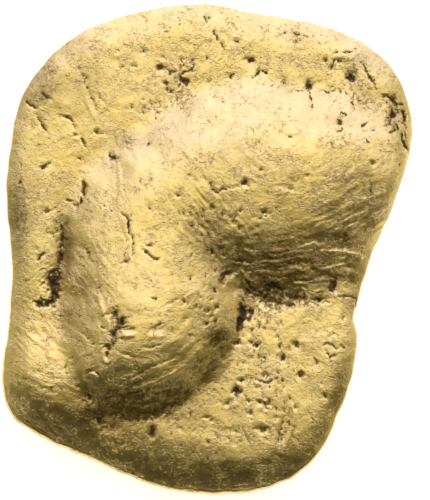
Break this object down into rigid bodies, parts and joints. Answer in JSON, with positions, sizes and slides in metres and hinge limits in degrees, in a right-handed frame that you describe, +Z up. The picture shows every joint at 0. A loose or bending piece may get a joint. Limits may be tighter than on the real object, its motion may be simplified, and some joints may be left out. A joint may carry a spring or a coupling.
{
  "type": "stater coin",
  "caption": "Worn, thick gold stater of irregular rounded outline, with a curved struck hump on its upper side and a shallow rayed dish below.",
  "frame": {"origin": "under the middle of the coin's box, on the plane that it lies on", "axes": "+Z up out of the humped side, +Y along the coin's longest way, +X across it"},
  "size_m": [0.0142, 0.017, 0.0029],
  "materials": {
    "worn_gold": "satin"
  },
  "bodies": {
    "root": {"stater_coin": "worn_gold"}
  },
  "joints": []
}
